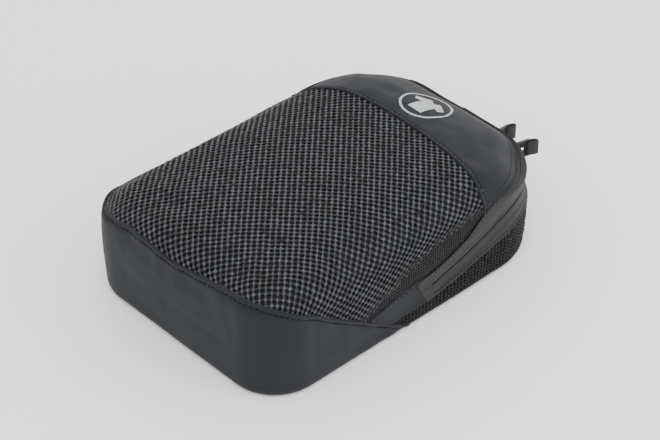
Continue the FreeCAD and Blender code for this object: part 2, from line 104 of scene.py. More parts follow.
# ================================================================ lines and surfaces
def smooth_line(points):
    """A smooth function through the points, which doesn't overshoot between them."""
    xs, ys = np.array(points, float).T
    step = np.diff(xs)
    rise = np.diff(ys) / step
    slope = np.zeros(len(xs))
    slope[0], slope[-1] = rise[0], rise[-1]
    for i in range(1, len(xs) - 1):
        if rise[i - 1] * rise[i] > 0:
            slope[i] = 2 * rise[i - 1] * rise[i] / (rise[i - 1] + rise[i])

    def line(x):
        x = np.clip(np.asarray(x, float), xs[0], xs[-1])
        i = np.clip(np.searchsorted(xs, x) - 1, 0, len(xs) - 2)
        h, t = step[i], (x - xs[i]) / step[i]
        return ((2 * t**3 - 3 * t**2 + 1) * ys[i] + (t**3 - 2 * t**2 + t) * h * slope[i]
                + (3 * t**2 - 2 * t**3) * ys[i + 1] + (t**3 - t**2) * h * slope[i + 1])

    return line


def run_at(y):
    """Length along the outline to a place y on the straight side."""
    return RUN_CORNER + y + HALF_L - FRONT_R


def smoothstep(low, high, x):
    t = np.clip((x - low) / (high - low), 0, 1)
    return t * t * (3 - 2 * t)


SEAM_END = run_at(-3)
seam_line = smooth_line([(0, 52.3), (20, 54), (35, 56), (47, 57), (58, 56.3), (68, 53.8), (RUN_CORNER, 46.5),
                         (run_at(-60), 35.8), (run_at(-44.5), 25.6), (run_at(-30), 15.6),
                         (run_at(-12), 4.5), (SEAM_END, 0)])
zip_line = smooth_line([(run_at(-40), 18.0), (run_at(2), 18.5), (run_at(16), 20.5), (run_at(45), 29),
                        (run_at(57), 34), (RUN_SIDE + 14, ZIP_BACK), (RUN_END, ZIP_BACK)])
crease_line = smooth_line([(run_at(-40), 24), (run_at(-21), 32.5), (run_at(-7), 38.4),
                           (run_at(12), 45), (run_at(42), 48.5), (RUN_END, 48.5)])
upper_edge = smooth_line([(run_at(-3), 24.0), (run_at(29.5), 34.5), (run_at(43), 44.5), (run_at(53), 51),
                          (RUN_SIDE + 18, 56), (RUN_BACK, 55), (RUN_END, 54)])
lower_edge = smooth_line([(run_at(-3), 9.8), (run_at(20), 13.0), (run_at(36), 17.0), (run_at(54), 21.5),
                          (RUN_SIDE + 20, 27.0), (RUN_BACK, 28.5), (RUN_END, 28.5)])
ZIP_FRONT = run_at(-1)
END_SEAM_Y = 42.0
END_SEAM_BOW = 9.0


def outline(run):
    """Point and outward direction on the outline seen from above; run < 0 is the left half."""
    side = np.where(run < 0, -1.0, 1.0)
    a = np.abs(run)
    front = np.clip((a - RUN_FRONT) / FRONT_R, 0, math.pi / 2)
    back = np.clip((a - RUN_SIDE) / BACK_R, 0, math.pi / 2)
    x = np.minimum(a, RUN_FRONT) + FRONT_R * np.sin(front)
    y = -HALF_L + FRONT_R * (1 - np.cos(front)) + np.clip(a - RUN_CORNER, 0, RUN_SIDE - RUN_CORNER)
    x = x - BACK_R * (1 - np.cos(back)) - np.clip(a - RUN_BACK, 0, None)
    y = y + BACK_R * np.sin(back)
    turn = front + back
    return side * x, y, side * np.sin(turn), -np.cos(turn)


def wall_point(run, z, out):
    """Point on the pouch's wall at a length along the outline and a height, out from the skin."""
    x, y, nx, ny = outline(run)
    up = np.clip(z - (HEIGHT - TOP_R), 0, TOP_R * 0.995)
    down = np.clip(BASE_R - z, 0, BASE_R * 0.995)
    inset = TOP_R - np.sqrt(TOP_R**2 - up**2) + BASE_R - np.sqrt(BASE_R**2 - down**2)
    lift = up / TOP_R - down / BASE_R
    level = np.sqrt(1 - lift**2)
    shift = out * level - inset
    return np.stack([x + nx * shift, y + ny * shift, z + out * lift], -1)


def top_point(u, v, out):
    """Point on the skin that covers the top and folds down over its edges, at flat distances u, v."""
    side = np.where(u < 0, -1.0, 1.0)
    a = np.abs(u)
    back = v > HALF_L - BACK_R
    front = v < FRONT_R - HALF_L
    cx = np.where(back, np.minimum(a, HALF_W - BACK_R), np.minimum(a, HALF_W - TOP_R))
    cx = np.where(front, np.minimum(a, HALF_W - FRONT_R), cx)
    cy = np.where(back, HALF_L - BACK_R, np.where(front, FRONT_R - HALF_L, v))
    radius = np.where(back, BACK_R - TOP_R, np.where(front, FRONT_R - TOP_R, 0.0))
    dx, dy = a - cx, v - cy
    reach = np.maximum(np.hypot(dx, dy), 1e-9)
    nx, ny = dx / reach, dy / reach
    beyond = np.maximum(reach - radius, 0)
    inner = np.minimum(reach, radius)
    turn = np.minimum(beyond / TOP_R, math.pi / 2)
    shift = inner + (TOP_R + out) * np.sin(turn)
    x = cx + nx * shift
    y = cy + ny * shift
    z = HEIGHT - TOP_R + (TOP_R + out) * np.cos(turn) - np.maximum(beyond - TOP_R * math.pi / 2, 0)
    return np.stack([side * x, y, z], -1)


def run_of(x, y):
    """Length along the outline nearest to a place; negative on the left."""
    a = np.abs(x)
    fx, fy = a - (HALF_W - FRONT_R), y + HALF_L - FRONT_R
    bx, by = a - (HALF_W - BACK_R), y - HALF_L + BACK_R
    run = RUN_CORNER + y + HALF_L - FRONT_R
    run = np.where(fy < 0, RUN_FRONT + FRONT_R * np.arctan2(np.maximum(fx, 0), -np.minimum(fy, -1e-9)), run)
    run = np.where((fy < 0) & (fx < 0), a, run)
    run = np.where(by > 0, RUN_SIDE + BACK_R * np.arctan2(by, np.maximum(bx, 1e-9)), run)
    run = np.where((by > 0) & (bx < 0), RUN_END - a, run)
    return np.where(x < 0, -run, run)


def filled(points):
    """How the filled cloth stands: domed toward the back and sides, with soft, shallow waves."""
    p = np.array(points, float)
    x, y, z = p[:, 0], p[:, 1], p[:, 2]
    run = run_of(x, y)
    ox, oy, nx, ny = outline(run)
    depth = (ox - x) * nx + (oy - y) * ny
    near_wall = 1 - smoothstep(6, 30, depth)
    a = np.abs(run)
    zipped = smoothstep(run_at(-30), run_at(0), a)
    middle = zip_line(a)
    plain = np.sin(np.pi * np.clip(z / HEIGHT, 0, 1))
    above = np.sin(np.pi * np.clip((z - middle) / (HEIGHT + 4 - middle), 0, 1))
    below = np.sin(np.pi * np.clip(z / middle, 0, 1))
    off_zip = 1 - zipped * (1 - smoothstep(4, 13, np.abs(z - middle)))
    belly = BELLY * plain * (1 - zipped) + zipped * off_zip * (BELLY_ABOVE * above + BELLY_BELOW * below)
    wave = 0.25 * np.sin(run / 13 + z / 17) + 0.18 * np.sin(run / 7.3 - z / 9 + 1.3)
    belly += wave * np.clip(z / 8, 0, 1) * off_zip
    belly += 1.6 * np.exp(-((a - RUN_END) / 26) ** 2) * smoothstep(46, HEIGHT, z)
    belly -= CORNER_TUCK * np.exp(-((a - RUN_SIDE - 30) / 20) ** 2) * smoothstep(42, HEIGHT, z)
    p[:, 0] += nx * belly * near_wall
    p[:, 1] += ny * belly * near_wall
    upper = smoothstep(ZIP_BACK + SLIDER_REACH, HEIGHT, z)
    edge = (1 - np.clip(depth / 46, 0, 1)) ** 1.6
    left = SAG_LEFT * smoothstep(10, 66, -x)
    right = SAG_RIGHT * smoothstep(20, 66, x) * smoothstep(-70, -30, y)
    back = SAG_BACK * smoothstep(30, 95, y)
    crown = CROWN * np.clip(1 - (x / HALF_W) ** 2, 0, 1) * np.clip(1 - (y / HALF_L) ** 2, 0, 1)
    crown += 0.3 * np.sin(x / 15 + y / 21) + 0.25 * np.sin(y / 11 - x / 19 + 0.8)
    p[:, 2] += upper * (crown - edge * np.maximum(np.maximum(left, right), back))
    p[:, 2] = np.maximum(p[:, 2], 0.05)
    return p


def end_seam(u):
    """The end panel's front seam on the flat top skin."""
    return END_SEAM_Y + END_SEAM_BOW * np.clip(1 - (u / HALF_W) ** 2, 0, 1)


def cage():
    """Coarse skin of the pouch, rings of points from the foot up the wall and in to the middle."""
    runs = spread(-RUN_END, RUN_END, 5.0)[:-1]
    x, y, nx, ny = outline(runs)
    rings = [wall_point(runs, np.full(len(runs), z), np.zeros(len(runs))) for z in np.arange(0, 49, 4.9)]
    core_x, core_y = x - nx * TOP_R, y - ny * TOP_R
    for d in np.linspace(TOP_R * math.pi / 2, 0, 5):
        rings.append(top_point(core_x + nx * d, core_y + ny * d, np.zeros(len(runs))))
    for part in np.linspace(0.92, 0.08, 12):
        rings.append(top_point(core_x * part, core_y * part, np.zeros(len(runs))))
    return runs, filled(np.concatenate(rings)), len(rings)


def held(points):
    """How firmly each cage point is held: fully at the foot and the zipper, partly along the seams."""
    x, y, z = points.T
    a = np.abs(run_of(x, y))
    zipped = smoothstep(run_at(-30), run_at(0), a)
    foot = 1 - smoothstep(2, 7, z)
    zipper = zipped * (1 - smoothstep(4, 9, np.abs(z - zip_line(a))))
    on_wall = z < HEIGHT - 4
    seams = np.zeros(len(z))
    for line in (seam_line, crease_line, upper_edge, lower_edge):
        seams = np.maximum(seams, on_wall * np.exp(-((z - line(a)) / 4) ** 2))
    across = (z > 40) * np.exp(-((y - end_seam(x)) / 5) ** 2)
    return np.clip(np.maximum(np.maximum(foot, zipper), SEAM_HOLD * np.maximum(seams, across)), 0, 1)


def inflate():
    """Cloth simulation of the filled pouch: the cage's points and how far each of them moved."""
    runs, points, rings = cage()
    count = len(runs)
    faces = []
    for j in range(rings - 1):
        for i in range(count):
            k = (i + 1) % count
            faces.append((j * count + i, j * count + k, (j + 1) * count + k, (j + 1) * count + i))
    mesh = bpy.data.meshes.new("cage")
    mesh.from_pydata((points * MM).tolist(), [], faces)
    skin = bpy.data.objects.new("cage", mesh)
    bpy.context.scene.collection.objects.link(skin)
    group = skin.vertex_groups.new(name="held")
    for index, weight in enumerate(held(points)):
        group.add([index], float(weight), "REPLACE")
    cloth = skin.modifiers.new("cloth", "CLOTH")
    settings = cloth.settings
    settings.quality = 8
    settings.mass = 0.05
    settings.tension_stiffness = 12
    settings.compression_stiffness = 4
    settings.shear_stiffness = 4
    settings.bending_stiffness = 0.4
    settings.use_pressure = True
    settings.uniform_pressure_force = PRESSURE
    settings.vertex_group_mass = "held"
    settings.pin_stiffness = 2.0
    settings.effector_weights.gravity = 0.0
    cloth.point_cache.frame_start = 1
    cloth.point_cache.frame_end = SIM_FRAMES
    scene = bpy.context.scene
    for step in range(1, SIM_FRAMES + 1):
        scene.frame_set(step)
    moved = skin.evaluated_get(bpy.context.evaluated_depsgraph_get())
    place = np.empty(len(points) * 3)
    moved.data.vertices.foreach_get("co", place)
    scene.frame_set(1)
    bpy.data.objects.remove(skin)
    shift = place.reshape(-1, 3) / MM - points
    size = np.linalg.norm(shift, axis=1, keepdims=True)
    return points, shift * np.minimum(1, MAX_SHIFT / np.maximum(size, 1e-6))


def shift_lookup(points, shift):
    """A tree of the cage's points, ready to carry their shifts over to any piece."""
    tree = KDTree(len(points))
    for index, point in enumerate(points):
        tree.insert(point, index)
    tree.balance()
    return tree, shift


def settle(points):
    """Where the simulated cloth brings points of the plain shape."""
    base = filled(points)
    if cage_tree is None:
        return base
    total = np.empty_like(base)
    for k, point in enumerate(base):
        near = cage_tree.find_n(point, 4)
        weights = [1 / (distance + 0.5) ** 2 for _, _, distance in near]
        total[k] = sum(w * cage_shift[index] for w, (_, index, _) in zip(weights, near)) / sum(weights)
    settled = base + total
    settled[:, 2] = np.maximum(settled[:, 2], 0.05)
    return settled


# ================================================================ mesh helpers
pieces = {}


def make_piece(name, points, faces, uv, material, shade_attribute=None, thickness=0.0):
    """A mesh piece from points in millimetres; uv is the cloth's own flat millimetres."""
    mesh = bpy.data.meshes.new(name)
    mesh.from_pydata((np.asarray(points) * MM).tolist(), [], faces)
    layer = mesh.uv_layers.new(name="cloth")
    corner = np.empty(len(mesh.loops), int)
    mesh.loops.foreach_get("vertex_index", corner)
    layer.data.foreach_set("uv", np.asarray(uv, np.float32)[corner].ravel())
    # the optional per-point values are painted light and shade, stored as the relief attribute that colours
    # the knit
    if shade_attribute is not None:
        mesh.attributes.new("relief", "FLOAT", "POINT").data.foreach_set(
            "value", np.asarray(shade_attribute, np.float32))
    mesh.polygons.foreach_set("use_smooth", [True] * len(mesh.polygons))
    mesh.update()
    piece = bpy.data.objects.new(name, mesh)
    bpy.context.scene.collection.objects.link(piece)
    piece.data.materials.append(material)
    if thickness:
        solid = piece.modifiers.new("thickness", "SOLIDIFY")
        solid.thickness = thickness * MM
        solid.offset = -1.0
    pieces[name] = piece
    return piece


def grid_faces(columns, rows, closed=False):
    """Quads of a grid stored column by column."""
    count = columns if closed else columns - 1
    faces = []
    for i in range(count):
        for j in range(rows - 1):
            a = i * rows + j
            b = ((i + 1) % columns) * rows + j
            faces.append((a, b, b + 1, a + 1))
    return faces


def spread(first, last, step):
    """Evenly spaced values from first to last, about step apart."""
    return np.linspace(first, last, max(2, int(round(abs(last - first) / step)) + 1))


def edge_rows(count, fine=4):
    """Fractions across a strip, closer together near both edges."""
    t = np.linspace(0, 1, count)
    near = np.linspace(0, t[1], fine + 1)[:-1]
    return np.concatenate([near, t[1:-1], 1 - near[::-1]])


def strip(name, runs, low, high, rows, out, material, thickness, skew=None):
    """A band of cloth on the wall between two lines; out gives its height off the skin.

    out is called with the length along the wall, the height and the distances from both edges.
    skew(a, z) pushes points forward along the wall, for an end that isn't upright. Runs past
    RUN_END carry on round the back to the left half.
    """
    along, t = np.meshgrid(runs, rows, indexing="ij")
    run = np.where(along > RUN_END, along - 2 * RUN_END, along)
    bottom, top = low(np.abs(run)), high(np.abs(run))
    z = bottom + (np.maximum(top, bottom + 0.01) - bottom) * t
    off = out(run, z, t * (top - bottom), (1 - t) * (top - bottom))
    if skew:
        run = run - np.sign(run) * skew(np.abs(run), z)
    points = wall_point(run.ravel(), z.ravel(), off.ravel())
    uv = np.stack([along.ravel(), z.ravel()], -1)
    faces = grid_faces(len(runs), len(rows))
    return make_piece(name, settle(points), faces, uv, material, thickness=thickness)


def lattice(name, point, a_range, b_range, pitch, keep, relief, hole, material, thickness):
    """Open knitted mesh: one hole to a cell, with knots at the corners and raised ribs along b.

    relief gives heights off the skin in millimetres, and the ribs' painted lightness beside the knots'.
    The piece carries painted light and shade per point: knots lightest, bars and hole rims darker. A
    closed sheet lies behind the open layer in the darkest colour, painted shade so the holes look dark.
    """
    columns = int(round((a_range[1] - a_range[0]) / pitch[0]))
    rows = int(round((b_range[1] - b_range[0]) / pitch[1]))
    i, j = np.meshgrid(np.arange(columns), np.arange(rows), indexing="ij")
    ca = a_range[0] + (i + 0.5) * pitch[0]
    cb = b_range[0] + (j + 0.5) * pitch[1]
    kept = keep(ca.ravel(), cb.ravel())
    i, j = i.ravel()[kept], j.ravel()[kept]
    ring = ((0, 0), (1, 0), (2, 0), (2, 1), (2, 2), (1, 2), (0, 2), (0, 1))
    width = 2 * rows + 1
    outer = np.stack([(2 * i + di) * width + 2 * j + dj for di, dj in ring], -1)
    used, outer_index = np.unique(outer, return_inverse=True)
    outer_index = outer_index.reshape(outer.shape)
    ui, uj = used // width, used % width
    a = a_range[0] + ui * pitch[0] / 2
    b = b_range[0] + uj * pitch[1] / 2
    knot = (ui % 2 == 0) & (uj % 2 == 0)
    rib = (ui % 2 == 0) & (uj % 2 == 1)
    rise = np.where(knot, relief["knot"], np.where(rib, relief["rib"], relief["bar"]))
    # painted light and shade on the knit's relief: knots lightest, ribs at their painted lightness, bars
    # darker
    shade = np.where(knot, 1.0, np.where(rib, relief["rib_painted_light"], 0.2))
    shade = shade * (1 + 0.18 * rng.standard_normal(len(ui)))
    rise = rise * (1 + 0.25 * rng.standard_normal(len(rise)))
    ring_a, ring_b = [], []
    for di, dj in ring:
        angle = math.atan2(dj - 1, di - 1)
        ring_a.append(a_range[0] + (i + 0.5 + hole[0] * math.cos(angle)) * pitch[0])
        ring_b.append(b_range[0] + (j + 0.5 + hole[1] * math.sin(angle)) * pitch[1])
    inner_a, inner_b = np.stack(ring_a, -1).ravel(), np.stack(ring_b, -1).ravel()
    inner_index = len(used) + np.arange(len(i) * 8).reshape(-1, 8)
    all_a, all_b = np.concatenate([a, inner_a]), np.concatenate([b, inner_b])
    out = np.concatenate([rise, np.full(len(inner_a), relief["hole"])])
    all_a = all_a + 0.055 * pitch[0] * rng.standard_normal(len(all_a))
    all_b = all_b + 0.055 * pitch[1] * rng.standard_normal(len(all_b))
    points = settle(point(all_a, all_b, out))
    faces = []
    for k in range(8):
        m = (k + 1) % 8
        faces.append(np.stack([outer_index[:, k], outer_index[:, m], inner_index[:, m],
                               inner_index[:, k]], -1))
    faces = np.concatenate(faces).tolist()
    # painted shade: the hole rims take the darkest colour
    shade = np.concatenate([shade, np.full(len(inner_a), 0.0)])
    # a closed sheet behind the open layer, in the darkest colour, paints the shade seen through the holes
    corners, shade_sheet = np.unique(outer_index[:, [0, 2, 4, 6]], return_inverse=True)
    shade_sheet = shade_sheet.reshape(-1, 4) + len(all_a)
    behind = point(a[corners], b[corners], np.full(len(corners), relief["shade_sheet"]))
    points = np.concatenate([points, settle(behind)])
    faces += shade_sheet.tolist()
    all_a, all_b = np.concatenate([all_a, a[corners]]), np.concatenate([all_b, b[corners]])
    # painted shade: the sheet behind the holes takes the darkest colour
    shade = np.concatenate([shade, np.full(len(corners), -0.6)])
    return make_piece(name, points, faces, np.stack([all_a, all_b], -1), material,
                      shade_attribute=shade, thickness=thickness)


def resample(path, spacing):
    """Evenly spaced places along a path of points, with the path's direction at each."""
    path = np.asarray(path, float)
    length = np.concatenate([[0], np.cumsum(np.linalg.norm(np.diff(path, axis=0), axis=1))])
    at = np.arange(spacing / 2, length[-1], spacing)
    place = np.stack([np.interp(at, length, path[:, k]) for k in range(3)], -1)
    ahead = np.stack([np.interp(at + 0.4, length, path[:, k]) for k in range(3)], -1)
    behind = np.stack([np.interp(at - 0.4, length, path[:, k]) for k in range(3)], -1)
    way = ahead - behind
    return place, way / np.linalg.norm(way, axis=1, keepdims=True)


def stitches(name, paths, material, spacing=3.1, length=2.1, radius=0.3):
    """Topstitching: short rounded threads in rows along paths of (surface, raised) point pairs."""
    points, faces, uv = [], [], []
    # place along the stitch, thickness and lift, from end to end
    profile = ((-0.5, 0.25, -0.25), (-0.38, 0.85, 0.0), (0.0, 1.0, 0.12), (0.38, 0.85, 0.0),
               (0.5, 0.25, -0.25))
    around = 6
    for surface, raised in paths:
        place, way = resample(surface, spacing)
        lifted, _ = resample(raised, spacing)
        count = min(len(place), len(lifted))
        for c, t, up in zip(place[:count], way[:count], lifted[:count] - place[:count]):
            n = up - t * np.dot(up, t)
            n = n / max(np.linalg.norm(n), 1e-6)
            b = np.cross(t, n)
            base = len(points)
            for along, thick, lift in profile:
                centre = c + t * along * length + n * lift
                for k in range(around):
                    angle = 2 * math.pi * k / around
                    points.append(centre + radius * thick * (b * math.cos(angle) + n * math.sin(angle)))
                    uv.append((k, along * 4))
            for r in range(len(profile) - 1):
                for k in range(around):
                    m = (k + 1) % around
                    faces.append((base + r * around + k, base + r * around + m,
                                  base + (r + 1) * around + m, base + (r + 1) * around + k))
            faces.append(tuple(base + k for k in reversed(range(around))))
            last = base + (len(profile) - 1) * around
            faces.append(tuple(last + k for k in range(around)))
    return make_piece(name, points, faces, uv, material)


def wall_path(runs, z, out):
    """A pair of paths on the settled wall, the second a little further out, for stitches."""
    runs = np.where(runs > RUN_END, runs - 2 * RUN_END, runs)
    z = z(np.abs(runs))
    here = settle(wall_point(runs, z, np.full(len(runs), out)))
    there = settle(wall_point(runs, z, np.full(len(runs), out + 1.0)))
    return here, there


def top_path(u, v, out):
    """The same on the top skin."""
    u, v = np.asarray(u, float), np.asarray(v, float)
    here = settle(top_point(u, v, np.full(len(u), out)))
    there = settle(top_point(u, v, np.full(len(u), out + 1.0)))
    return here, there


# ================================================================ materials
def node_material(name, rough=0.8, sheen=0.0):
    """A new material with its Principled shader and a helper that adds linked nodes."""
    material = bpy.data.materials.new(name)
    material.use_nodes = True
    tree = material.node_tree
    shader = tree.nodes["Principled BSDF"]
    shader.inputs["Roughness"].default_value = rough
    shader.inputs["Specular IOR Level"].default_value = 0.22
    shader.inputs["Sheen Weight"].default_value = sheen
    shader.inputs["Sheen Roughness"].default_value = 0.5

    def add(kind, **inputs):
        node = tree.nodes.new(kind)
        for key, value in inputs.items():
            socket = node.inputs[key.replace("_", " ")]
            if isinstance(value, bpy.types.NodeSocket):
                tree.links.new(value, socket)
            else:
                socket.default_value = value
        return node

    return material, tree, shader, add


def mix_colours(add, tree, factor, first, second):
    """Colour that runs from first to second with factor."""
    mix = add("ShaderNodeMix")
    mix.data_type = "RGBA"
    tree.links.new(factor, mix.inputs["Factor"])
    for socket, colour in ((mix.inputs[6], first), (mix.inputs[7], second)):
        if isinstance(colour, bpy.types.NodeSocket):
            tree.links.new(colour, socket)
        else:
            socket.default_value = (*colour, 1.0)
    return mix.outputs[2]


def woven_fabric(name, dark, light, thread, rough=0.72, bump=0.35, sheen=0.04):
    """Plain weave: crossed threads of the given pitch in millimetres, with cloudy variation."""
    material, tree, shader, add = node_material(name, rough, sheen)
    cloth = add("ShaderNodeUVMap")
    cloth.uv_map = "cloth"
    split = add("ShaderNodeSeparateXYZ", Vector=cloth.outputs["UV"])
    waves = []
    for axis in ("X", "Y"):
        turn = add("ShaderNodeMath")
        turn.operation = "MULTIPLY"
        tree.links.new(split.outputs[axis], turn.inputs[0])
        turn.inputs[1].default_value = 2 * math.pi / thread
        wave = add("ShaderNodeMath")
        wave.operation = "SINE"
        tree.links.new(turn.outputs[0], wave.inputs[0])
        waves.append(wave.outputs[0])
    weave = add("ShaderNodeMath")
    weave.operation = "MULTIPLY"
    tree.links.new(waves[0], weave.inputs[0])
    tree.links.new(waves[1], weave.inputs[1])
    fine = add("ShaderNodeTexNoise", Vector=cloth.outputs["UV"], Scale=0.9, Detail=4.0)
    cloud = add("ShaderNodeTexNoise", Vector=cloth.outputs["UV"], Scale=0.05, Detail=3.0)
    blend = add("ShaderNodeMath")
    blend.operation = "MULTIPLY_ADD"
    tree.links.new(weave.outputs[0], blend.inputs[0])
    blend.inputs[1].default_value = 0.25
    tree.links.new(fine.outputs["Fac"], blend.inputs[2])
    tone = mix_colours(add, tree, blend.outputs[0], dark, light)
    shade = add("ShaderNodeMapRange", Value=cloud.outputs["Fac"])
    shade.inputs["To Min"].default_value = 0.82
    shade.inputs["To Max"].default_value = 1.18
    scaled = add("ShaderNodeVectorMath")
    scaled.operation = "SCALE"
    tree.links.new(tone, scaled.inputs[0])
    tree.links.new(shade.outputs[0], scaled.inputs["Scale"])
    tree.links.new(scaled.outputs[0], shader.inputs["Base Color"])
    relief = add("ShaderNodeBump", Height=blend.outputs[0], Strength=bump, Distance=0.00015)
    tree.links.new(relief.outputs["Normal"], shader.inputs["Normal"])
    return material


def knit_mesh(name, dark, light, rough=0.7):
    """Knitted yarn: near-black painted shade in the hollows, painted light on the knots, unevenly bright
    from place to place.
    """
    material, tree, shader, add = node_material(name, rough, 0.04)
    relief = add("ShaderNodeAttribute")
    relief.attribute_name = "relief"
    cloth = add("ShaderNodeUVMap")
    cloth.uv_map = "cloth"
    fuzz = add("ShaderNodeTexNoise", Vector=cloth.outputs["UV"], Scale=2.2, Detail=3.0)
    cloud = add("ShaderNodeTexNoise", Vector=cloth.outputs["UV"], Scale=0.06, Detail=2.0)
    # painted light and shade from the relief attribute, sharpened: darkest in hollows and holes, lightest on
    # the knots
    painted_relief_shade = add("ShaderNodeMapRange", Value=relief.outputs["Fac"])
    painted_relief_shade.interpolation_type = "SMOOTHSTEP"
    painted_relief_shade.inputs["From Min"].default_value = 0.1
    painted_relief_shade.inputs["From Max"].default_value = 1.0
    uneven = add("ShaderNodeMapRange", Value=cloud.outputs["Fac"])
    uneven.inputs["To Min"].default_value = 0.6
    uneven.inputs["To Max"].default_value = 1.3
    yarn = add("ShaderNodeMapRange", Value=fuzz.outputs["Fac"])
    yarn.inputs["To Min"].default_value = 0.7
    yarn.inputs["To Max"].default_value = 1.3
    weight = painted_relief_shade.outputs[0]
    for other in (uneven.outputs[0], yarn.outputs[0]):
        product = add("ShaderNodeMath")
        product.operation = "MULTIPLY"
        tree.links.new(weight, product.inputs[0])
        tree.links.new(other, product.inputs[1])
        weight = product.outputs[0]
    tone = mix_colours(add, tree, weight, dark, light)
    tree.links.new(tone, shader.inputs["Base Color"])
    bump = add("ShaderNodeBump", Height=fuzz.outputs["Fac"], Strength=0.4, Distance=0.0001)
    tree.links.new(bump.outputs["Normal"], shader.inputs["Normal"])
    return material


def painted_metal(name, colour, worn):
    """Painted zinc with lighter worn edges and a slightly uneven gloss."""
    material, tree, shader, add = node_material(name, 0.4)
    shader.inputs["Metallic"].default_value = 0.6
    place = add("ShaderNodeTexCoord")
    grain = add("ShaderNodeTexNoise", Vector=place.outputs["Object"], Scale=900.0, Detail=3.0)
    edge = add("ShaderNodeNewGeometry")
    wear = add("ShaderNodeMapRange", Value=edge.outputs["Pointiness"])
    wear.inputs["From Min"].default_value = 0.52
    wear.inputs["From Max"].default_value = 0.62
    tone = mix_colours(add, tree, wear.outputs[0], colour, worn)
    tree.links.new(tone, shader.inputs["Base Color"])
    gloss = add("ShaderNodeMapRange", Value=grain.outputs["Fac"])
    gloss.inputs["To Min"].default_value = 0.32
    gloss.inputs["To Max"].default_value = 0.5
    tree.links.new(gloss.outputs[0], shader.inputs["Roughness"])
    bump = add("ShaderNodeBump", Height=grain.outputs["Fac"], Strength=0.15, Distance=0.00005)
    tree.links.new(bump.outputs["Normal"], shader.inputs["Normal"])
    return material


FABRIC = woven_fabric("ripstop", (0.0050, 0.0059, 0.0080), (0.0092, 0.0105, 0.0136), 0.55)
TAPE = woven_fabric("zipper_tape", (0.0115, 0.0130, 0.0118), (0.0215, 0.0230, 0.0208), 0.8, bump=0.5)
BINDING = woven_fabric("binding", (0.004, 0.004, 0.0045), (0.009, 0.009, 0.0095), 0.9, bump=0.7)
RIBBON = woven_fabric("ribbon", (0.009, 0.009, 0.0098), (0.020, 0.020, 0.021), 0.7, bump=0.8)
# near-black: a dark thread, painted darker still to carry the shadow in its stitch holes
THREAD_WITH_PAINTED_SHADOW = woven_fabric("thread", (0.0012, 0.0012, 0.0014), (0.003, 0.003, 0.0034), 0.3, sheen=0.0)
INK = woven_fabric("print_ink", (0.30, 0.31, 0.32), (0.42, 0.43, 0.44), 0.55, rough=0.6)
COIL = woven_fabric("coil", (0.005, 0.005, 0.0053), (0.012, 0.012, 0.0124), 0.5, rough=0.35, sheen=0.0)
# lit and shaded copies of one knit: the second copy's darker colours are painted shade on walls that face
# away from the light, partly also the lining behind them
TOP_KNIT = knit_mesh("top_knit", (0.0022, 0.0026, 0.0034), (0.072, 0.075, 0.082))
SHADED_SIDE_KNIT = knit_mesh("shaded_side_knit", (0.0016, 0.0019, 0.0023), (0.016, 0.0172, 0.019))
METAL = painted_metal("slider_metal", (0.009, 0.009, 0.0098), (0.08, 0.08, 0.08))


# ================================================================ panels
PANEL_OUT = 0.75        # outer face of a fabric panel above the mesh's middle
CLOTH = 0.55            # thickness of the panel fabric
TOP_PITCH = 2.88
# in each relief the ribs' lightness is painted light beside the knots, and the sheet depth places the dark
# sheet that paints the shade behind the holes
TOP_RELIEF = {"knot": 0.45, "rib": 0.2, "bar": -0.1, "hole": -0.2, "shade_sheet": -0.75, "rib_painted_light": 0.5}
GUSSET_RELIEF = {"knot": 0.66, "rib": 0.6, "bar": -0.15, "hole": -0.3, "shade_sheet": -0.75, "rib_painted_light": 0.9}
BAND_RELIEF = {"knot": 0.22, "rib": 0.14, "bar": 0.0, "hole": -0.1, "shade_sheet": -0.55, "rib_painted_light": 0.45}


def hem(distance):
    """A folded edge: thick at the edge, a groove along the stitching, flat beyond."""
    lip = 0.55 * np.exp(-((distance - 0.9) / 0.8) ** 2)
    groove = -0.35 * np.exp(-((distance - 2.6) / 0.5) ** 2)
    fall = -0.9 * np.exp(-(distance / 0.35) ** 2)
    return lip + groove + fall


def pucker(run, distance, pitch=15.0, depth=0.35):
    """Small gathers that run away from a seam and fade out."""
    return depth * np.sin(run * 2 * math.pi / pitch) * np.exp(-distance / 9.0) * smoothstep(0, 3, distance)


def front_panel():
    """Fabric front, folded over along its upper edge."""
    runs = spread(-SEAM_END, SEAM_END, 1.6)

    def out(run, z, from_low, from_high):
        return PANEL_OUT + hem(from_high) + pucker(run, from_high)

    rows = np.concatenate([np.linspace(0, 0.86, 26)[:-1], np.linspace(0.86, 1, 17)])
    piece = strip("front_panel_cloth", runs, lambda a: 0.0 * a, seam_line, rows, out, FABRIC,
                  CLOTH)
    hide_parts("front_panel")
    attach(piece, "pouch")
    path = wall_path(runs[8:-8], lambda a: seam_line(a) - 2.6, PANEL_OUT - 0.08)
    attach(stitches("front_panel_stitching", [path], THREAD_WITH_PAINTED_SHADOW), "pouch")


def drop(z):
    """Flat distance on the top skin from the flat top's edge down to height z on a wall."""
    return TOP_R * math.pi / 2 + HEIGHT - TOP_R - z


